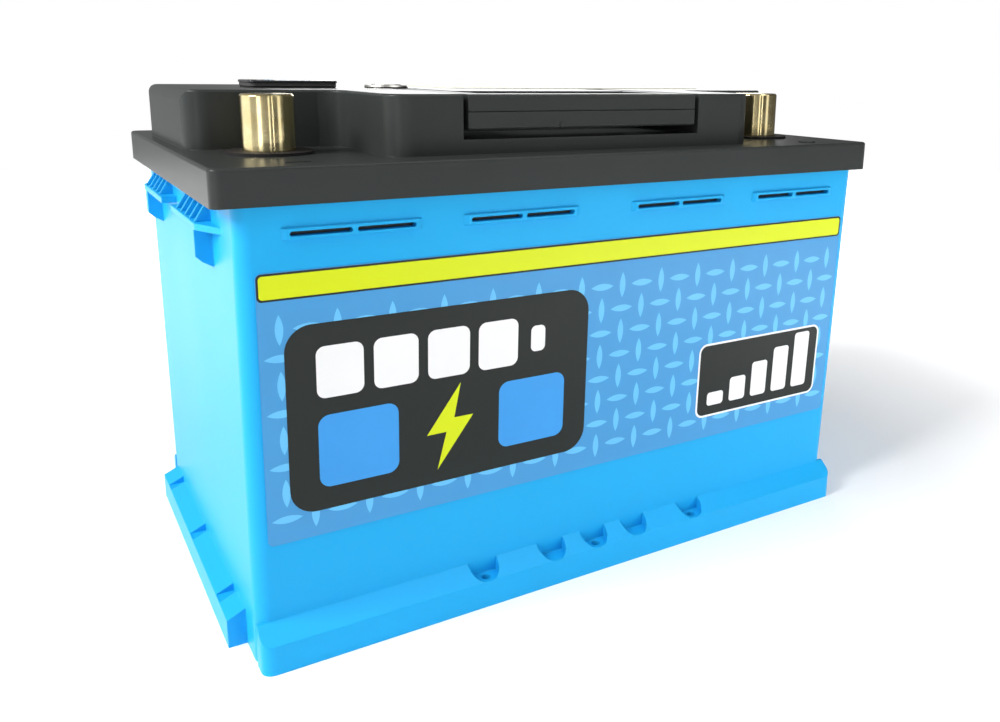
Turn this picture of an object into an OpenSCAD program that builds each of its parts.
// Starter battery in a car-size block case with front terminals: a leaning-walled tub with hold-down
// ledges, a black lid with a raised deck, a folding handle, a reset button and a charge display, and
// inside it four prismatic cells in series, strapped together, with a management board above them.
// Millimetres. Origin at the centre of the base, +X along the case, terminals on the -Y side, +Z up.

/* [Case] */
// Length of the tub's walls, without the end ledges
case_l = 268; // [256:1:290]
// Width of the tub at its foot, without the side ledges
case_w = 160; // [158:1:166]
// Width of the tub just below the lid
case_w_top = 171.6; // [168:0.1:176]
// Height of the tub up to the lid's skirt
case_h = 158; // [152:1:175]
// Thickness of the tub's walls
case_wall = 3; // [2:0.1:3.4]
// Thickness of the tub's floor
case_floor = 3.5; // [2.5:0.1:6]
// Radius of the tub's upright corners
case_r = 5; // [4:0.1:8]
// Height of the rim that stands inside the lid's skirt
rim_h = 7; // [4:0.1:8]
// Thickness of that rim
rim_wall = 2; // [1.4:0.1:2.2]

/* [Hold-down ledges] */
// How far the long ledges stand out from the foot of the tub
ledge_out = 7.5; // [5:0.1:10]
// How far the end ledges stand out from the tub's ends
end_ledge_out = 6.4; // [3:0.1:8]
// Height of the ledges' upright faces
ledge_h = 10.5; // [8:0.1:14]
// Height of the slope from a long ledge's face to the wall
ledge_slope = 5.5; // [3:0.1:8]
// Height of the slope from an end ledge's face to the wall
end_ledge_slope = 3; // [2:0.1:6]
// Length of the end ledges
end_ledge_w = 136; // [120:1:145]
// Distance of the end ledges and the lugs behind the middle of the end walls
end_shift = 4; // [-5:0.5:5]
// Radius of the half-round notches in the long ledges
notch_r = 6; // [4:0.1:7]
// Distance of the inner pair of notches from the middle one
notch_near = 20; // [16:1:24]
// Distance of the outer pair of notches from the middle one
notch_far = 50; // [42:1:70]
// Diameter of the drain holes in the notches
drain_d = 3.6; // [1.5:0.1:4]
// Width of the pockets in the end ledges
pocket_w = 6; // [4:0.5:10]
// Distance of the outer pockets from the middle one
pocket_pitch = 52; // [30:1:56]

/* [Snap windows] */
// Length of the raised frame round a pair of windows
frame_l = 46.5; // [40:0.5:52]
// Height of that frame
frame_h = 3.6; // [3:0.1:5]
// How far the frame stands out from the wall
frame_out = 1.2; // [0.5:0.1:1.5]
// Length of the slopes at the frame's ends
frame_bevel = 1.5; // [0.5:0.1:2]
// Height of a window
window_h = 1.6; // [1.2:0.1:2]
// Length of a window
window_l = 20; // [15:0.1:21]
// Width of the bar between two windows
window_bar = 1.6; // [1.5:0.1:2.6]
// Depth of the windows' middle below the lid's skirt
window_drop = 9; // [7:0.1:12]
// Distance of the inner frames from the middle of the case
frame_near = 35.2; // [32:0.1:42]
// Distance of the outer frames from the tub's ends
frame_far = 37; // [34:0.1:44]

/* [Lifting lugs] */
// How far the lugs stand out from the tub's ends
lug_out = 5.6; // [3:0.1:7]
// Distance of a lug's inner end from the middle of the end wall
lug_in = 11; // [6:0.5:16]
// Distance of a lug's outer corner from the middle of the end wall
lug_far = 57; // [52:0.5:62]
// Length over which a lug's edge runs back into the wall
lug_taper = 13; // [4:0.5:14]
// Thickness of a lug's shelf
lug_t = 2.3; // [1.5:0.1:4]
// Depth of the shelf's top below the lid's skirt
lug_drop = 9; // [7:0.1:14]
// Thickness of the ribs on a shelf
lug_rib_t = 1.6; // [1:0.1:2.5]
// Distance between the ribs
lug_rib_pitch = 8.5; // [6:0.1:9]
// Depth of the block below a shelf
lug_block_h = 13.5; // [8:0.1:18]
// Width of that block
lug_block_w = 5; // [3:0.1:8]

/* [Lid] */
// How far the skirt stands out from the tub's ends
skirt_out_x = 6.4; // [3:0.1:8]
// How far the skirt stands out from the tub's long walls
skirt_out_y = 1.7; // [1.2:0.1:4]
// Height of the skirt
skirt_h = 12; // [11:0.1:16]
// Thickness of the flat shelf that closes the skirt
shelf_t = 3; // [2.5:0.1:4]
// Thickness of the deck's walls
deck_wall = 2.5; // [2:0.1:3]
// Height of the deck above the shelf
deck_h = 21; // [20:0.1:26]
// Gap between the deck and the skirt's ends
deck_end_gap = 4.8; // [2:0.1:8]
// Depth of the shelf in front of the deck
deck_front_gap = 62.5; // [60:0.5:66]
// Depth of the shelf behind the deck
deck_back_gap = 24.5; // [16:0.5:28]
// Radius of the deck's upright corners
deck_r = 8; // [6:0.1:10]
// Radius of the deck's top edges at its two ends
deck_edge = 4; // [3:0.1:5]
// Radius of its other top edges
front_edge = 1; // [0.5:0.1:2]
// Length of the deck's nose between the terminals
nose_l = 161; // [140:1:164]
// Depth of the shelf in front of the nose
nose_gap = 11.5; // [8:0.1:16]
// Radius of the hollow corners between nose and deck
nose_fillet = 8.5; // [3:0.5:10]
// Radius of the skirt's upright corners
skirt_r = 3.5; // [3:0.1:7]
// Radius of the skirt's top edge
skirt_edge = 1; // [0.5:0.1:1.5]

/* [Handle] */
// Length of the grip
handle_l = 100.5; // [90:0.5:120]
// Distance of the handle's middle from the lid's middle
handle_x = -1.5; // [-5:0.5:5]
// Depth of the grip
grip_d = 13; // [10:0.5:16]
// Height of the grip and of the arms
handle_h = 12.3; // [8:0.1:13]
// Width of an arm
arm_w = 9; // [7:0.1:10]
// Distance from the grip's front face to the pivot
arm_reach = 64; // [58:0.5:68]
// Gap between the handle and the ends of its recess
handle_side_gap = 2; // [1.5:0.1:4]
// Depth of the finger space behind the grip
finger_gap = 23; // [20:0.5:26]
// Gap below the grip
grip_gap = 3.3; // [2.5:0.1:3.6]
// Depth of the handle's top below the deck's top
handle_drop = 0.1; // [0.1:0.1:1]
// Diameter of the trunnions on the arms
trunnion_d = 6; // [4:0.1:6.6]
// Length of a trunnion inside its socket
trunnion_grip = 5; // [3:0.1:8]
// Radial clearance of the trunnions in their sockets
trunnion_clear = 0.06; // [0.02:0.01:0.1]

/* [Terminals] */
// Diameter of the negative post
neg_post_d = 17.9; // [16:0.1:20]
// Diameter of the positive post
pos_post_d = 19.5; // [18:0.1:22]
// Height of the posts above their collars
post_h = 19.2; // [15:0.1:24]
// Distance of the posts from the skirt's ends
post_side = 28.5; // [22:0.5:32]
// Distance of the posts from the skirt's front face
post_front = 44.3; // [38:0.1:46]
// Diameter of the insulating collars
collar_d = 30; // [27:0.5:32]
// Thickness of the collars
collar_t = 1; // [0.6:0.1:2]
// Diameter of the post's shank through the lid
shank_d = 10; // [9:0.1:11]
// Diameter of the threaded stud below the shank
stud_d = 8; // [6:0.1:8.6]
// Thickness of the nuts' washers
washer_t = 2; // [1.2:0.1:3]
// Height of the nuts
nut_h = 6.5; // [5:0.1:8]
// Width of the nuts across their corners
nut_d = 15; // [14:0.1:17]
// Diameter of the nuts' washers
washer_d = 20; // [16:0.5:24]

/* [Cells] */
// Thickness of a cell
cell_t = 52; // [46:0.1:54]
// Width of a cell
cell_w = 148; // [130:1:150]
// Height of a cell without its terminals
cell_h = 115; // [100:1:118]
// Thickness of the pads between the cells
pad_t = 2; // [1:0.1:3]
// Distance of a cell's terminals from its middle
terminal_y = 48; // [42:0.5:54]
// Length of a terminal's block
terminal_l = 18; // [14:0.5:22]
// Height of a terminal's block above the cell
terminal_h = 3; // [2:0.1:5]
// Thickness of the plates at the ends of the pack
end_plate_t = 5; // [4:0.1:6]
// Height of those plates
end_plate_h = 111; // [92:1:114]
// Thickness of the steel straps round the pack
strap_t = 0.8; // [0.5:0.1:1.2]
// Width of the straps
strap_w = 16; // [10:0.5:22]
// Thickness of the mat below the cells
mat_t = 3; // [2:0.1:5]
// Thickness of the bars that join the cells
link_t = 2.5; // [1.5:0.1:3]
// Width of those bars
link_w = 20; // [16:0.5:22]
// How far a bar or a strap reaches past the middle of a bolt or a stud
link_end = 9; // [7:0.5:11]

/* [Management board] */
// Length of the board
board_l = 184; // [170:1:196]
// Width of the board
board_w = 68; // [62:1:72]
// Thickness of the board
board_t = 1.6; // [1:0.1:2.4]
// Thickness of the heat spreader below it
spreader_t = 4; // [2:0.1:5]
// Thickness of the tray
tray_t = 2; // [1.5:0.1:3]
// Height of the tray's underside above the cells
tray_lift = 11.5; // [10:0.1:13]
// Diameter of the sense wires
sense_d = 1.6; // [1:0.1:1.8]

/* [Reset button] */
// Place of the button along the deck, from the middle
button_x = -49; // [-56:1:-44]
// Distance of the button's middle behind the handle's channels
button_y = 14; // [14:0.5:24]
// Diameter of the button's bezel
bezel_d = 18.5; // [17.6:0.1:21]
// Height of the bezel above its seal
bezel_h = 0.8; // [0.6:0.1:2.5]
// Diameter of the threaded barrel
barrel_d = 16; // [15.4:0.1:16.6]
// Diameter of the part that a finger presses
cap_d = 12.4; // [10:0.1:12.6]
// Height of that part above the bezel
cap_proud = 0.3; // [0.3:0.1:1.5]
// Travel of the button
button_travel = 2; // [1:0.1:2.6]

/* [Charge display] */
// Length of the display's raised housing
display_l = 35.5; // [28:0.5:36]
// Depth of the housing
display_w = 21; // [18:0.5:30]
// Height of the housing above the deck
display_h = 2.8; // [2.2:0.1:6]
// Distance of its middle from the deck's end
display_x = 46.6; // [32:0.1:50]
// Distance of its middle from the deck's front face
display_y = 39.5; // [28:0.5:54]
// Thickness of the dark top plate
display_lens_t = 0.9; // [0.6:0.1:1.2]

/* [Labels] */
// Length of the front label
label_l = 257.6; // [230:0.1:258]
// Height of the label's lower edge above the base
label_bottom = 44; // [30:1:60]
// Height of the label's upper edge above the base
label_top = 137.2; // [120:0.1:140]
// Thickness of the labels
label_t = 0.3; // [0.2:0.1:0.5]
// Length of the label on the deck
top_label_l = 140; // [100:1:160]
// Depth of that label
top_label_w = 52; // [40:1:54]

/* [Hidden] */
$fn = 48;
eps = 0.01;
fit = 0.3;               // play between parts that drop into each other
seat = 0.1;              // play round shanks and bolts

// Tub
lean = atan((case_w_top - case_w) / 2 / case_h);
function wall_y(z) = case_w / 2 + z * tan(lean);
wall_in = case_wall / cos(lean);
rim_step = 0.6;          // shoulder on which the skirt rests
window_z = case_h - window_drop;
window_x = (window_l + window_bar) / 2;
frame_places = [frame_far - case_l / 2, -frame_near, frame_near, case_l / 2 - frame_far];

// Lid
lid_l = case_l + 2 * skirt_out_x;
lid_w = case_w_top + 2 * skirt_out_y;
shelf_z = case_h + skirt_h;
deck_z = shelf_z + deck_h;
rim_l = case_l - 2 * rim_step;
rim_w = case_w_top - 2 * rim_step;
deck_l = lid_l - 2 * deck_end_gap;
deck_y0 = -lid_w / 2 + deck_front_gap;
deck_y1 = lid_w / 2 - deck_back_gap;
nose_y = -lid_w / 2 + nose_gap;
hollow_edge = 0.5;       // radius of the front and back top edges inside the deck
boss_h = 4;              // height of the bosses below the shelf
boss_r = 13;
post_x = lid_l / 2 - post_side;
post_y = -lid_w / 2 + post_front;
post_seal_r = shank_d / 2 + 3;
seal_h = 2;
hook_t = 2.2;            // thickness of the lid's hook plates
hook_nose = 2;           // how far a hook reaches into its window
mark_l = 8;              // length of the polarity marks
mark_w = 2;
mark_h = 0.4;
mark_gap = 10;           // from the lid's front face to a mark's middle

// Handle
handle_top = deck_z - handle_drop;
handle_bottom = handle_top - handle_h;
pivot_z = handle_top - handle_h / 2;
pivot_y = nose_y + arm_reach;
recess_floor = handle_bottom - grip_gap;
recess_l = handle_l + 2 * handle_side_gap;
recess_back = nose_y + grip_d + finger_gap;
grip_edge = 1;           // radius of the grip's long edges
channel_in = handle_l / 2 - arm_w - 1.5;
channel_back = pivot_y + handle_h / 2 + 1.8;
channel_floor = handle_bottom - 1;
socket_r = trunnion_d / 2 + trunnion_clear;
socket_end = recess_l / 2 + trunnion_grip + 0.5;

// Pack
pack_z = case_floor + mat_t;
cell_top = pack_z + cell_h;
cell_pitch = cell_t + pad_t;
cell_xs = [-1.5, -0.5, 0.5, 1.5] * cell_pitch;
pack_half = 2 * cell_t + 2.5 * pad_t;
plate_half = pack_half + end_plate_t;
link_z = cell_top + terminal_h;
bolt_r = 3;
bolt_head_r = 5;
bolt_head_h = 3.5;
vent_r = 6;              // safety vent in the middle of a cell's top
vent_h = 0.6;
cell_r = 3;              // radius of the cells' long edges
pad_inset = 3;           // pads and mat end this far inside the cells' edges
straps_z = [pack_z + cell_h * 0.2, pack_z + cell_h * 0.75];
foam_side = 14;          // the foams end this far inside the cells' edges
foam_drop = 11;          // and this far below their tops
foam_w = cell_w - 2 * foam_side;
foam_h = cell_h - foam_drop;

// Management board
tray_z = cell_top + tray_lift;
spreader_z = tray_z + tray_t;
board_z = spreader_z + spreader_t;
board_top = board_z + board_t;
leg_x = plate_half - end_plate_t / 2;
leg_y = 24;
screw_r = 1.2;
screw_head_r = 3;
screw_head_h = 2;
screw_bite = 7;          // how far the tray's screws go into the end plates
strap_end = 18;          // width of the straps' ends on the board
socket_h = 6;            // height of the board's socket
pad_side = board_l / 2 - 24;         // from the board's middle to its output strap
plate_top = pack_z + end_plate_h;
busbar_z = case_h + skirt_h - shelf_t - boss_h - washer_t - link_t;

// Button
seal_t = 0.4;
bezel_z = deck_z + seal_t;
bezel_top = bezel_z + bezel_h;
cap_bore_r = cap_d / 2 + 0.08;
lip_r = cap_bore_r + 0.55;
lip_top = bezel_z - 4.3;
lip_t = 1.1;
spring_room = 7.1;       // height of the spring below the lip at rest
chamber_z = lip_top - lip_t - spring_room;
barrel_end = chamber_z - 9;
button_place = [button_x, channel_back + button_y, 0];
pin_x = 4;               // place of the switch's pins to each side of its middle
pin_l = 8.5;
lead_d = 1.4;

// Display
gasket_t = 0.5;
lens_z = deck_z + display_h - display_lens_t;
neck_l = display_l - 6;
neck_w = display_w - 6;
neck_end = deck_z - deck_wall - 3;
display_t = 1.5;         // wall of the display's neck
display_place = [display_x - deck_l / 2, deck_y0 + display_y, 0];
label_gap = 16;          // from the button's bezel to the label on the deck

// ---- shared shapes ----

// Flat outline with round corners, about the origin
module rounded_rect(l, w, r) {
    square([l - 2 * r, w], center = true);
    square([l, w - 2 * r], center = true);
    for (x = [-1, 1], y = [-1, 1])
        translate([x * (l / 2 - r), y * (w / 2 - r)]) circle(r);
}

// Section of a slab whose two top corners are round
module domed_section(w, h, e) {
    translate([-w / 2, 0]) square([w, h - e]);
    translate([-w / 2 + e, 0]) square([w - 2 * e, h]);
    for (s = [-1, 1]) translate([s * (w / 2 - e), h - e]) circle(e);
}

// Upright post with a round top edge
module puck(r, h, e) {
    rotate_extrude() {
        square([r, h - e]);
        square([r - e, h]);
        intersection() {
            translate([r - e, h - e]) circle(e);
            square([r, h]);
        }
    }
}

// Slab with upright corners of radius r and a top edge of radius e
module rounded_slab(l, w, h, r, e) {
    translate([-l / 2 + r, 0, 0]) along_x(l - 2 * r) domed_section(w, h, e);
    translate([0, w / 2 - r, 0]) along_y(w - 2 * r) domed_section(l, h, e);
    for (x = [-1, 1], y = [-1, 1])
        translate([x * (l / 2 - r), y * (w / 2 - r), 0]) puck(r, h, e);
}

// Extrudes a section drawn across Y and up Z, from x = 0 to x = l
module along_x(l) {
    rotate([90, 0, 90]) linear_extrude(l) children();
}

// Extrudes a section drawn across X and up Z, from y = 0 to y = -l
module along_y(l) {
    rotate([90, 0, 0]) linear_extrude(l) children();
}

// Block whose long sides lean out from w0 at its foot to w1 at its top
module leaning_block(l, w0, w1, h, r) {
    inset = r / cos(lean);
    translate([-l / 2 + r, 0, 0]) along_x(l - 2 * r)
        polygon([[-w0 / 2, 0], [w0 / 2, 0], [w1 / 2, h], [-w1 / 2, h]]);
    translate([-l / 2, 0, 0]) along_x(l)
        polygon([[-w0 / 2 + inset, 0], [w0 / 2 - inset, 0], [w1 / 2 - inset, h], [-w1 / 2 + inset, h]]);
    intersection() {
        for (x = [-1, 1], y = [-1, 1])
            translate([x * (l / 2 - r), y * (w0 / 2 - inset), 0]) rotate([-y * lean, 0, 0])
                translate([0, 0, -r]) cylinder(r = r, h = h + 2 * r);
        translate([-l, -w1, 0]) cube([2 * l, 2 * w1, h]);
    }
}

module ring(outer_r, inner_r, h) {
    difference() {
        cylinder(r = outer_r, h = h);
        translate([0, 0, -1]) cylinder(r = inner_r, h = h + 2);
    }
}

// Round wire through a list of points
module wire(points, d) {
    for (i = [0 : len(points) - 2]) {
        step = points[i + 1] - points[i];
        length = norm(step);
        translate(points[i]) rotate([0, acos(step[2] / length), atan2(step[1], step[0])])
            cylinder(d = d, h = length, $fn = 24);
    }
    for (i = [1 : len(points) - 2]) translate(points[i]) sphere(d = d, $fn = 24);
}

// Puts a piece on the long wall of the given side, at height z, with +Z along the leaning wall
module on_wall(side, z) {
    rotate([0, 0, side < 0 ? 0 : 180]) translate([0, -wall_y(z), z]) rotate([lean, 0, 0]) children();
}

module at_posts() {
    for (s = [-1, 1]) translate([s * post_x, post_y, 0]) children();
}

// ---- tub ----

module tub_hollow() {
    translate([0, 0, case_floor]) leaning_block(case_l - 2 * case_wall,
        2 * (wall_y(case_floor) - wall_in), 2 * (wall_y(case_h) - wall_in), case_h - case_floor,
        case_r - case_wall);
    translate([0, 0, case_h]) linear_extrude(rim_h + 1)
        rounded_rect(rim_l - 2 * rim_wall, rim_w - 2 * rim_wall, case_r - rim_step - rim_wall);
}

module side_ledge() {
    slope_z = ledge_h + ledge_slope;
    difference() {
        intersection() {
            translate([-case_l / 2, 0, 0]) along_x(case_l)
                polygon([[-case_w / 2 + 1, 0], [-case_w / 2 - ledge_out, 0],
                    [-case_w / 2 - ledge_out, ledge_h], [-wall_y(slope_z), slope_z],
                    [-wall_y(slope_z) + 1, slope_z]]);
            linear_extrude(slope_z) rounded_rect(case_l, case_w + 2 * ledge_out, case_r - 1);
        }
        for (x = [-notch_far, -notch_near, 0, notch_near, notch_far])
            translate([x, -case_w / 2 - ledge_out + notch_r, ledge_h]) cylinder(r = notch_r, h = slope_z);
        for (x = [-notch_far, 0, notch_far])
            translate([x, -case_w / 2 - ledge_out + drain_d, -1]) cylinder(d = drain_d, h = slope_z, $fn = 24);
    }
}

module end_ledge() {
    wall = case_l / 2;
    edge = wall + end_ledge_out;
    slope_z = ledge_h + end_ledge_slope;
    difference() {
        translate([0, end_ledge_w / 2, 0]) along_y(end_ledge_w)
            polygon([[wall - 1, 0], [edge, 0], [edge, ledge_h], [wall, slope_z], [wall - 1, slope_z]]);
        for (y = [-pocket_pitch, 0, pocket_pitch])
            translate([wall, y - pocket_w / 2, ledge_h]) cube([end_ledge_out - 0.4, pocket_w, slope_z]);
    }
}

// Flat rib with sloping ends, standing on the wall
module window_frame() {
    end = frame_l / 2;
    translate([0, 0, -frame_h / 2]) linear_extrude(frame_h)
        polygon([[-end, 1], [-end, 0], [frame_bevel - end, -frame_out], [end - frame_bevel, -frame_out],
            [end, 0], [end, 1]]);
}

// One window with round ends, cut along Y
module window(l, h, depth) {
    rotate([90, 0, 0]) linear_extrude(depth, center = true) rounded_rect(l, h, h / 2 - eps);
}

module lug() {
    top = case_h - lug_drop;
    wall = case_l / 2;
    translate([0, 0, top - lug_t]) linear_extrude(lug_t)
        polygon([[wall - 1, lug_in], [wall + lug_out, lug_in], [wall + lug_out, lug_far],
            [wall, lug_far + lug_taper], [wall - 1, lug_far + lug_taper]]);
    for (i = [0 : 4])
        translate([0, lug_far - 3 - i * lug_rib_pitch + lug_rib_t / 2, 0]) along_y(lug_rib_t)
            polygon([[wall - 1, top - eps], [wall + lug_out - 0.4, top - eps], [wall, case_h - 1],
                [wall - 1, case_h - 1]]);
    translate([0, lug_far - 2, 0]) along_y(lug_block_w)
        polygon([[wall - 1, top - 1], [wall + lug_out, top - 1], [wall + lug_out, top - lug_block_h + 2],
            [wall + lug_out - 2, top - lug_block_h], [wall, top - lug_block_h - 2],
            [wall - 1, top - lug_block_h - 2]]);
}

module case() {
    color("deepskyblue") difference() {
        union() {
            leaning_block(case_l, case_w, case_w_top, case_h, case_r);
            translate([0, 0, case_h - 1]) linear_extrude(rim_h + 1)
                rounded_rect(rim_l, rim_w, case_r - rim_step);
            for (a = [0, 180]) rotate([0, 0, a]) side_ledge();
            for (end = [0, 1]) mirror([end, 0, 0]) translate([0, end_shift, 0]) {
                end_ledge();
                lug();
                mirror([0, 1, 0]) lug();
            }
            for (s = [-1, 1], x = frame_places) on_wall(s, window_z) translate([x, 0, 0]) window_frame();
        }
        tub_hollow();
        for (s = [-1, 1], x = frame_places, w = [-window_x, window_x])
            on_wall(s, window_z) translate([x + w, 0, 0]) window(window_l, window_h, 4 * case_wall);
    }
}

module lid_gasket() {
    color("black") translate([0, 0, case_h + rim_h]) linear_extrude(skirt_h - shelf_t - rim_h)
        difference() {
            rounded_rect(rim_l, rim_w, case_r - rim_step);
            rounded_rect(rim_l - 2 * rim_wall, rim_w - 2 * rim_wall, case_r - rim_step - rim_wall);
        }
}

// ---- lid ----

// The raised deck with its nose, drawn in by inset all round and on top, with top edges of radius e
// except at the deck's rounder ends
module deck(inset, base, e = front_edge) {
    h = deck_z - inset - base;
    r = deck_r - inset;
    l = deck_l - 2 * inset;
    w = deck_y1 - deck_y0 - 2 * inset;
    intersection() {
        translate([0, (deck_y0 + deck_y1) / 2, base]) rounded_slab(l, w, h, r, e);
        translate([0, deck_y1, base]) along_y(deck_y1 - deck_y0) domed_section(l, h, deck_edge - inset);
    }
    nose_d = deck_y1 - nose_y - 2 * inset;
    translate([0, nose_y + inset + nose_d / 2 - 0.5, base]) rounded_slab(nose_l - 2 * inset, nose_d - 1, h, r, e);
}

// Fills the hollow corner between the nose and the deck, with the top edge led round it
module nose_corner(side) {
    h = deck_z - shelf_z;
    e = front_edge;
    r = nose_fillet;
    mirror([side < 0 ? 1 : 0, 0, 0]) translate([nose_l / 2 + r, deck_y0 - r, shelf_z]) difference() {
        translate([-r - e, 0, 0]) cube([r + e, r + e, h]);
        translate([0, 0, -1]) rotate_extrude() difference() {
            square([r + e, h + 2]);
            translate([r, 0]) square([e + 1, h + 1 - e]);
            intersection() {
                translate([r + e, h + 1 - e]) circle(e);
                square([r + e + 1, h + 1]);
            }
        }
    }
}

module at_handle() {
    translate([handle_x, 0, 0]) children();
}

// Space in which the handle lies and swings, widened by grow on its sides and floor
module handle_recess(grow) {
    up = deck_h + 5;
    translate([-recess_l / 2 - grow, nose_y - 5, recess_floor - grow])
        cube([recess_l + 2 * grow, recess_back - nose_y + 5 + grow, up]);
    for (s = [-1, 1]) {
        x0 = s > 0 ? channel_in - grow : -recess_l / 2 - grow;
        translate([x0, recess_back - 1, channel_floor - grow])
            cube([recess_l / 2 - channel_in + 2 * grow, channel_back - recess_back + 1 + grow, up]);
    }
}

module hook_plates() {
    plate_bottom = window_z - 3.5;
    face = wall_y(plate_bottom) - wall_in - seat;
    plate_l = window_l - 1;
    for (s = [-1, 1], x = frame_places, w = [-window_x, window_x])
        rotate([0, 0, s < 0 ? 0 : 180]) translate([x + w, 0, 0]) {
            translate([-plate_l / 2, -face, plate_bottom])
                cube([plate_l, hook_t, shelf_z - shelf_t - plate_bottom + 1]);
            translate([-plate_l / 2, -face - hook_nose, window_z - window_h / 2 + 0.15])
                cube([plate_l, hook_nose + 1, window_h - 0.3]);
        }
}

module polarity_marks() {
    for (s = [-1, 1]) translate([s * post_x, -lid_w / 2 + mark_gap, shelf_z + mark_h / 2 - eps]) {
        cube([mark_l, mark_w, mark_h], center = true);
        if (s > 0) cube([mark_w, mark_l, mark_h], center = true);
    }
}

module lid() {
    color("#3a3c3c") difference() {
        union() {
            difference() {
                union() {
                    translate([0, 0, case_h]) rounded_slab(lid_l, lid_w, skirt_h, skirt_r, skirt_edge);
                    deck(0, shelf_z - 1);
                    for (s = [-1, 1]) nose_corner(s);
                }
                translate([0, 0, case_h - 1]) linear_extrude(skirt_h - shelf_t + 1)
                    rounded_rect(rim_l + fit, rim_w + fit, case_r - rim_step);
                deck(deck_wall, case_h, hollow_edge);
            }
            intersection() {
                deck(0, shelf_z - 1);
                at_handle() handle_recess(deck_wall);
            }
            at_handle() for (s = [-1, 1])
                translate([s * (recess_l / 2 + eps), pivot_y, pivot_z]) rotate([0, s * 90, 0])
                    cylinder(r = socket_r + 1.5, h = trunnion_grip + 2.5);
            at_posts() translate([0, 0, shelf_z - shelf_t - boss_h]) cylinder(r = boss_r, h = boss_h + 1);
            hook_plates();
            polarity_marks();
        }
        at_handle() {
            handle_recess(0);
            for (s = [-1, 1]) translate([s * (recess_l / 2 - 1), pivot_y, pivot_z]) rotate([0, s * 90, 0])
                cylinder(r = socket_r, h = socket_end - recess_l / 2 + 1);
        }
        at_posts() {
            cylinder(r = shank_d / 2 + seat, h = deck_z);
            translate([0, 0, shelf_z - seal_h]) cylinder(r = post_seal_r, h = deck_z);
        }
        at_button() translate([0, 0, shelf_z]) cylinder(r = barrel_d / 2 + seat, h = 2 * deck_h);
        at_display() translate([0, 0, shelf_z]) linear_extrude(2 * deck_h)
            rounded_rect(neck_l + 2 * seat, neck_w + 2 * seat, 2);
    }
}

// ---- handle ----

module handle() {
    half = handle_h / 2;
    color("#343636") at_handle() difference() {
        union() {
            translate([-handle_l / 2, nose_y + grip_d / 2, pivot_z]) along_x(handle_l)
                rounded_rect(grip_d, handle_h, grip_edge);
            for (s = [-1, 1]) {
                translate([s > 0 ? handle_l / 2 - arm_w : -handle_l / 2, 0, 0]) {
                    translate([0, nose_y + grip_d / 2, handle_bottom])
                        cube([arm_w, arm_reach - grip_d / 2, handle_h]);
                    translate([0, pivot_y, pivot_z]) rotate([0, 90, 0]) cylinder(r = half, h = arm_w);
                }
                translate([s * (handle_l / 2 - 1), pivot_y, pivot_z]) rotate([0, s * 90, 0])
                    cylinder(d = trunnion_d, h = 1 + handle_side_gap + trunnion_grip);
            }
            // gate mark left by the mould
            translate([-12.5, nose_y, handle_bottom + 1.4]) cube([1.2, 0.8, 2], center = true);
        }
        // parting line along the front face
        translate([-handle_l / 2 - 1, nose_y, pivot_z]) cube([handle_l + 2, 0.6, 0.35]);
    }
}

// ---- terminals ----

module post(d) {
    top = shelf_z + collar_t;
    translate([0, 0, top]) {
        cylinder(d = d, h = post_h - 0.6);
        translate([0, 0, post_h - 0.6]) cylinder(d1 = d, d2 = d - 1.2, h = 0.6);
    }
    translate([0, 0, shelf_z - shelf_t - boss_h]) cylinder(d = shank_d, h = shelf_t + boss_h + collar_t + 1);
    translate([0, 0, busbar_z - nut_h - 2]) cylinder(d = stud_d, h = nut_h + link_t + washer_t + 3);
}

module post_negative() {
    color("#c9a94e") translate([-post_x, post_y, 0]) post(neg_post_d);
}

module post_positive() {
    color("#c9a94e") translate([post_x, post_y, 0]) post(pos_post_d);
}

module post_collars() {
    color("black") at_posts() translate([0, 0, shelf_z]) ring(collar_d / 2, shank_d / 2 + seat, collar_t);
}

module post_seals() {
    color("black") at_posts() translate([0, 0, shelf_z - seal_h]) ring(post_seal_r, shank_d / 2, seal_h);
}

module post_washers() {
    color("silver") at_posts() translate([0, 0, busbar_z + link_t]) ring(washer_d / 2, stud_d / 2 + seat, washer_t);
}

module post_nuts() {
    color("silver") at_posts() translate([0, 0, busbar_z - nut_h]) difference() {
        cylinder(d = nut_d, h = nut_h, $fn = 6);
        translate([0, 0, -1]) cylinder(d = stud_d, h = nut_h + 2);
    }
}

// Strap from the last cell's front terminal up to the positive stud
module busbar_positive() {
    x0 = cell_xs[3] - link_end;
    x1 = post_x + link_end;
    riser = (cell_xs[3] + bolt_head_r + post_x - nut_d / 2 - link_t) / 2;
    y = (post_y - terminal_y + link_w) / 2;
    color("#b87333") difference() {
        translate([0, y, 0]) along_y(link_w) polygon([[x0, link_z], [riser + link_t, link_z],
            [riser + link_t, busbar_z], [x1, busbar_z], [x1, busbar_z + link_t],
            [riser, busbar_z + link_t], [riser, link_z + link_t], [x0, link_z + link_t]]);
        translate([post_x, post_y, busbar_z - 1]) cylinder(r = stud_d / 2 + seat, h = link_t + 2);
        translate([cell_xs[3], -terminal_y, link_z - 1]) cylinder(r = bolt_r + seat, h = link_t + 2);
    }
}

// Strap from the board's output pad up to the negative stud
module busbar_negative() {
    riser = -pad_side;
    pad_y = -board_w / 2 + 2;
    top_y = post_y - strap_end / 2;
    depth = pad_y + strap_end - top_y;
    end = -post_x - link_end;
    color("#b87333") difference() {
        union() {
            translate([riser, pad_y, board_top]) cube([link_w, strap_end, link_t]);
            translate([riser, top_y, board_top]) cube([link_t, depth, busbar_z + link_t - board_top]);
            translate([end, top_y, busbar_z]) cube([riser + link_t - end, strap_end, link_t]);
        }
        translate([-post_x, post_y, busbar_z - 1]) cylinder(r = stud_d / 2 + seat, h = link_t + 2);
    }
}

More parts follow.
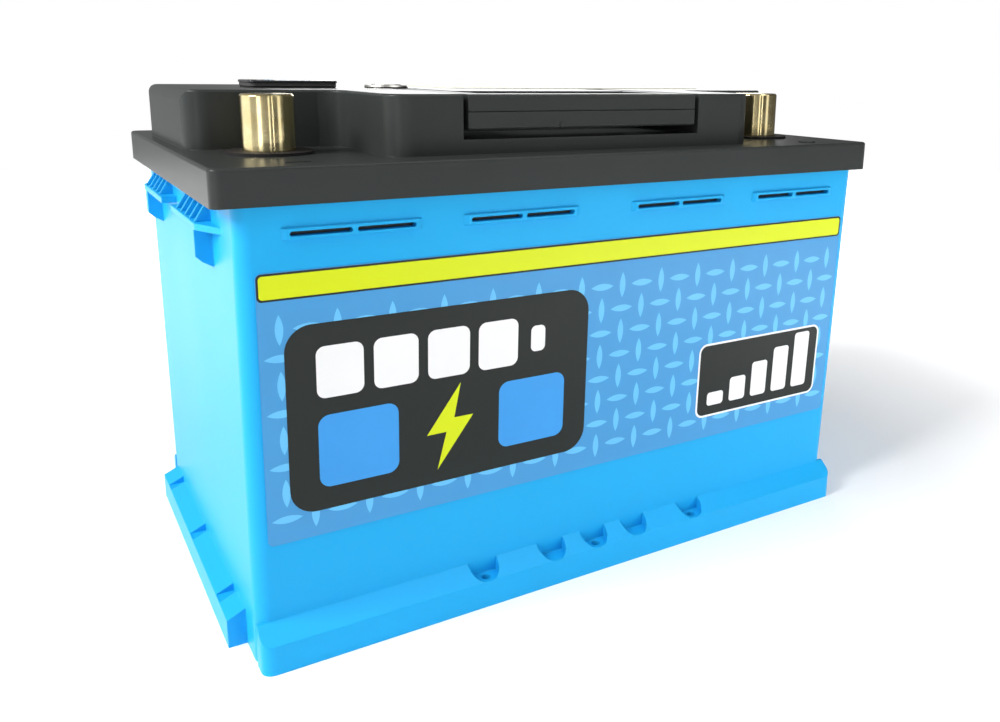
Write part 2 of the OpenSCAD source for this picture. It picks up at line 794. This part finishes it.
// Strap from the first cell's front terminal round the board's edge on to its input pad
module board_link() {
    edge = -board_w / 2 - fit;
    foot = -terminal_y - link_end;
    color("#b87333") difference() {
        translate([cell_xs[0] - strap_end / 2, 0, 0]) along_x(strap_end) polygon([[foot, link_z], [edge, link_z],
            [edge, board_top], [edge + strap_end, board_top], [edge + strap_end, board_top + link_t],
            [edge - link_t, board_top + link_t], [edge - link_t, link_z + link_t], [foot, link_z + link_t]]);
        translate([cell_xs[0], -terminal_y, link_z - 1]) cylinder(r = bolt_r + seat, h = link_t + 2);
    }
}

// ---- cell pack ----

module cell(i) {
    color("#3f6fb5") translate([cell_xs[i], 0, 0]) difference() {
        union() {
            translate([-cell_t / 2, 0, pack_z]) along_x(cell_t) translate([0, cell_h / 2])
                rounded_rect(cell_w, cell_h, cell_r);
            for (s = [-1, 1]) translate([-terminal_l / 2, s * terminal_y - terminal_l / 2, cell_top - 1])
                cube([terminal_l, terminal_l, terminal_h + 1]);
            translate([0, 0, cell_top - 1]) cylinder(r = vent_r, h = vent_h + 1);
        }
        for (s = [-1, 1]) translate([0, s * terminal_y, link_z - 6]) cylinder(r = bolt_r, h = 8);
    }
}

module cell_1() { cell(0); }
module cell_2() { cell(1); }
module cell_3() { cell(2); }
module cell_4() { cell(3); }

module cell_pads() {
    color("ivory") for (i = [-2 : 2]) {
        x = i * cell_pitch + (abs(i) == 2 ? -sign(i) * pad_t / 4 : 0);
        t = abs(i) == 2 ? pad_t / 2 : pad_t;
        translate([x - t / 2, -cell_w / 2 + pad_inset, pack_z + pad_inset])
            cube([t, cell_w - 2 * pad_inset, cell_h - 2 * pad_inset]);
    }
}

module end_plates() {
    color("silver") for (s = [-1, 1]) difference() {
        translate([s > 0 ? pack_half : -plate_half, -cell_w / 2, pack_z])
            cube([end_plate_t, cell_w, end_plate_h]);
        for (y = [-leg_y, leg_y]) translate([s * leg_x, y, plate_top - screw_bite - 1])
            cylinder(r = screw_r, h = screw_bite + 2);
    }
}

module pack_straps() {
    color("lightgray") for (z = straps_z) translate([0, 0, z - strap_w / 2]) linear_extrude(strap_w)
        difference() {
            square([2 * (plate_half + strap_t), cell_w + 2 * strap_t], center = true);
            square([2 * plate_half, cell_w], center = true);
        }
}

module end_foams() {
    inner = plate_half + strap_t;
    outer = case_l / 2 - case_wall;
    color("dimgray") for (s = [-1, 1])
        translate([s > 0 ? inner : -outer, -foam_w / 2, case_floor]) cube([outer - inner, foam_w, foam_h]);
}

module base_mat() {
    color("dimgray") translate([-plate_half, -cell_w / 2 + pad_inset, case_floor])
        cube([2 * plate_half, cell_w - 2 * pad_inset, mat_t]);
}

module cell_links() {
    color("#b87333") for (i = [0 : 2]) {
        y = i == 1 ? -terminal_y : terminal_y;
        difference() {
            translate([cell_xs[i] - link_end, y - link_w / 2, link_z])
                cube([cell_pitch + 2 * link_end, link_w, link_t]);
            for (x = [cell_xs[i], cell_xs[i + 1]])
                translate([x, y, link_z - 1]) cylinder(r = bolt_r + seat, h = link_t + 2);
        }
    }
}

module link_bolts() {
    color("silver") for (x = cell_xs, s = [-1, 1]) translate([x, s * terminal_y, 0]) {
        translate([0, 0, link_z + link_t]) cylinder(r = bolt_head_r, h = bolt_head_h, $fn = 6);
        translate([0, 0, link_z - 5]) cylinder(r = bolt_r, h = 5 + link_t + 1);
    }
}

// ---- management board ----

module tray_legs() {
    for (sx = [-1, 1], sy = [-1, 1]) translate([sx * leg_x, sy * leg_y, 0]) children();
}

module board_tray() {
    color("#e8e4d8") difference() {
        union() {
            translate([-plate_half, -board_w / 2, tray_z]) cube([2 * plate_half, board_w, tray_t]);
            tray_legs() translate([0, 0, plate_top]) cylinder(r = end_plate_t / 2, h = tray_z + 0.5 - plate_top);
        }
        tray_legs() translate([0, 0, plate_top - 1]) cylinder(r = screw_r + seat, h = tray_z);
        board_holes(tray_z - 1, screw_r, 4);
    }
}

module tray_screws() {
    color("silver") tray_legs() {
        translate([0, 0, spreader_z]) cylinder(r = screw_head_r, h = screw_head_h);
        translate([0, 0, plate_top - screw_bite]) cylinder(r = screw_r, h = spreader_z + screw_bite + 0.5 - plate_top);
    }
}

module board_holes(z, r, h) {
    for (sx = [-1, 1], sy = [-1, 1])
        translate([sx * (board_l / 2 - 4), sy * (board_w / 2 - 5) + (sy < 0 ? 24 : 0), z]) cylinder(r = r, h = h);
}

module heat_spreader() {
    color("silver") difference() {
        translate([-board_l / 2, -board_w / 2 + 1, spreader_z]) cube([board_l, board_w - 2, spreader_t]);
        board_holes(spreader_z - 1, screw_r + seat, spreader_t + 2);
    }
}

// Board with two rows of switching transistors, three capacitors and the socket for the sense wires
module management_board() {
    chip = [10, 9, 4.5];
    chip_pitch = 14;
    color("darkgreen") difference() {
        translate([-board_l / 2, -board_w / 2, board_z]) cube([board_l, board_w, board_t]);
        board_holes(board_z - 1, screw_r + seat, board_t + 2);
    }
    color("#222222") {
        for (i = [0 : 7], y = [-14, 4])
            translate([-34 + i * chip_pitch, y, board_top - eps]) cube(chip);
        translate([-8, board_w / 2 - 8, board_top - eps]) cube([16, 7, socket_h]);
    }
    color("#555555") for (i = [0 : 2])
        translate([-70 + i * 12, board_w / 2 - 14, board_top - eps]) cylinder(r = 4, h = 9);
}

module board_screws() {
    color("silver") board_holes(board_top, screw_head_r, screw_head_h);
    color("silver") board_holes(tray_z + 0.2, screw_r, board_top - tray_z + 0.5);
}

// Sense wires from the bars between the cells to the board's socket
module sense_wires() {
    start = link_z + link_t + sense_d / 2 - 0.1;
    plug = [board_w / 2 - 1, board_top + socket_h / 2];
    lane_step = 1.5 * sense_d;
    turn_y = plug[0] + 4;
    beside_bolt = bolt_head_r + 2;
    over_board = 14;
    rear = [for (s = [-1, 1]) let (x = s * cell_pitch, lane = s * 3 * sense_d)
        [[x, terminal_y, start], [x, terminal_y, plug[1]], [lane, terminal_y, plug[1]],
        [lane, plug[0], plug[1]]]];
    front = [for (i = [-1, 0, 1])
        let (x = i * (1.5 * cell_pitch - beside_bolt), y = -terminal_y + bolt_head_r, lane = i * lane_step,
            z = board_top + over_board + lane)
        [[x, y, start], [x, y, z], [x, turn_y, z], if (i != 0) [lane, turn_y, z],
        [lane, turn_y, plug[1]], [lane, plug[0], plug[1]]]];
    color("crimson") for (route = concat(rear, front)) wire(route, sense_d);
}

// ---- reset button ----

module at_button() {
    translate(button_place) children();
}

module button_body() {
    color("lightgray") at_button() difference() {
        union() {
            translate([0, 0, bezel_z]) cylinder(d1 = bezel_d, d2 = bezel_d - 0.8, h = bezel_h);
            translate([0, 0, barrel_end]) cylinder(d = barrel_d, h = bezel_z - barrel_end + 0.5);
        }
        translate([0, 0, lip_top - 0.5]) cylinder(r = cap_bore_r, h = bezel_top - lip_top + 1);
        translate([0, 0, chamber_z]) cylinder(r = lip_r + 0.08, h = lip_top - chamber_z + 0.06);
    }
    color("black") at_button() for (s = [-1, 1])
        translate([s * pin_x - 1.25, -0.4, barrel_end - pin_l]) cube([2.5, 0.8, pin_l + 0.5]);
}

module button_cap() {
    color("silver") at_button() {
        translate([0, 0, lip_top - lip_t]) cylinder(d = cap_d, h = bezel_top + cap_proud - lip_top + lip_t);
        translate([0, 0, lip_top - lip_t]) cylinder(r = lip_r, h = lip_t);
    }
}

// One round coil spring, swept as rings of points along a helix
module button_spring() {
    turns = 5;
    steps = 14;
    sides = 6;
    wire_r = 0.35;
    coil_r = 4.6;
    count = turns * steps;
    rise = (spring_room - 2 * wire_r - 0.1) / count;
    function spring_point(i, j) = let (a = 360 * i / steps, b = 360 * j / sides,
        r = coil_r + wire_r * cos(b)) [r * cos(a), r * sin(a), i * rise + wire_r * sin(b)];
    points = [for (i = [0 : count], j = [0 : sides - 1]) spring_point(i, j)];
    walls = [for (i = [0 : count - 1], j = [0 : sides - 1]) let (k = (j + 1) % sides)
        [(i + 1) * sides + j, (i + 1) * sides + k, i * sides + k, i * sides + j]];
    first = [for (j = [0 : sides - 1]) j];
    last = [for (j = [0 : sides - 1]) (count + 1) * sides - 1 - j];
    color("silver") at_button() translate([0, 0, chamber_z + wire_r + 0.05])
        polyhedron(points, concat(walls, [first, last]));
}

module button_nut() {
    color("silver") at_button() translate([0, 0, deck_z - deck_wall - 3]) difference() {
        cylinder(d = barrel_d + 6, h = 3, $fn = 6);
        translate([0, 0, -1]) cylinder(d = barrel_d, h = 5);
    }
}

module button_seal() {
    color("black") at_button() translate([0, 0, deck_z]) ring(bezel_d / 2 - 0.3, barrel_d / 2, seal_t);
}

module button_leads() {
    middle = (barrel_end + board_top) / 2;
    color("darkred") for (s = [-1, 1]) {
        x = button_place[0] + s * pin_x;
        y = button_place[1];
        wire([[x, y, barrel_end - pin_l], [x, y, middle], [x, y - 6, middle], [x, y - 6, board_top]], lead_d);
    }
}

// ---- charge display ----

module at_display() {
    translate(display_place) children();
}

module display_housing() {
    color("#6b6f73") at_display() difference() {
        union() {
            translate([0, 0, deck_z + gasket_t]) linear_extrude(lens_z - deck_z - gasket_t)
                rounded_rect(display_l - 0.6, display_w - 0.6, 3);
            translate([0, 0, neck_end]) linear_extrude(deck_z + 1 - neck_end) rounded_rect(neck_l, neck_w, 2);
        }
        translate([0, 0, neck_end + display_t]) linear_extrude(2 * deck_h)
            rounded_rect(neck_l - 2 * display_t, neck_w - 2 * display_t, 1);
        translate([0, 0, neck_end - 1]) cylinder(r = 3, h = 4);
    }
}

module display_lens() {
    color("#1c1e20") at_display() translate([0, 0, lens_z])
        rounded_slab(display_l, display_w, display_lens_t, 3, 0.4);
}

module display_gasket() {
    color("black") at_display() translate([0, 0, deck_z]) linear_extrude(gasket_t) difference() {
        rounded_rect(display_l - 1, display_w - 1, 3);
        rounded_rect(neck_l + 2 * seat, neck_w + 2 * seat, 2);
    }
}

module display_board() {
    z = neck_end + display_t;
    color("darkgreen") at_display() translate([0, 0, z]) difference() {
        linear_extrude(1.2) rounded_rect(neck_l - 2 * display_t - seat, neck_w - 2 * display_t - seat, 1);
        for (s = [-1, 1]) translate([s * 1.2, 0, -1]) cylinder(r = 0.7, h = 4);
    }
    color("white") at_display() for (i = [-1.5 : 1.5])
        translate([i * 5, 3, z + 1.2 - eps + 1]) cube([3, 2, 2], center = true);
}

module display_leads() {
    middle = (neck_end + board_top) / 2;
    color("gray") for (s = [-1, 1]) {
        x = display_place[0] + s * 1.2;
        y = display_place[1];
        z = middle + 2 * s;
        wire([[x, y, neck_end + display_t + 1], [x, y, z], [x + 6, y, z], [x + 6, y, board_top]], 1.2);
    }
}

// ---- labels ----

module front_label() {
    foot = label_bottom / cos(lean);
    height = (label_top - label_bottom) / cos(lean);
    color("#5094d4") on_wall(-1, 0) translate([0, 0, foot + height / 2]) rotate([90, 0, 0])
        linear_extrude(label_t) rounded_rect(label_l, height, 2);
}

module top_label() {
    color("lightyellow") translate([button_x + bezel_d / 2 + label_gap + top_label_l / 2,
        (channel_back + deck_y1) / 2, deck_z])
        linear_extrude(label_t) rounded_rect(top_label_l, top_label_w, 3);
}

case();
lid();
lid_gasket();
handle();
post_negative();
post_positive();
post_collars();
post_seals();
post_washers();
post_nuts();
busbar_negative();
busbar_positive();
board_link();
cell_1();
cell_2();
cell_3();
cell_4();
cell_pads();
end_plates();
pack_straps();
end_foams();
base_mat();
cell_links();
link_bolts();
board_tray();
tray_screws();
heat_spreader();
management_board();
board_screws();
sense_wires();
button_body();
button_cap();
button_spring();
button_nut();
button_seal();
button_leads();
display_housing();
display_lens();
display_gasket();
display_board();
display_leads();
front_label();
top_label();
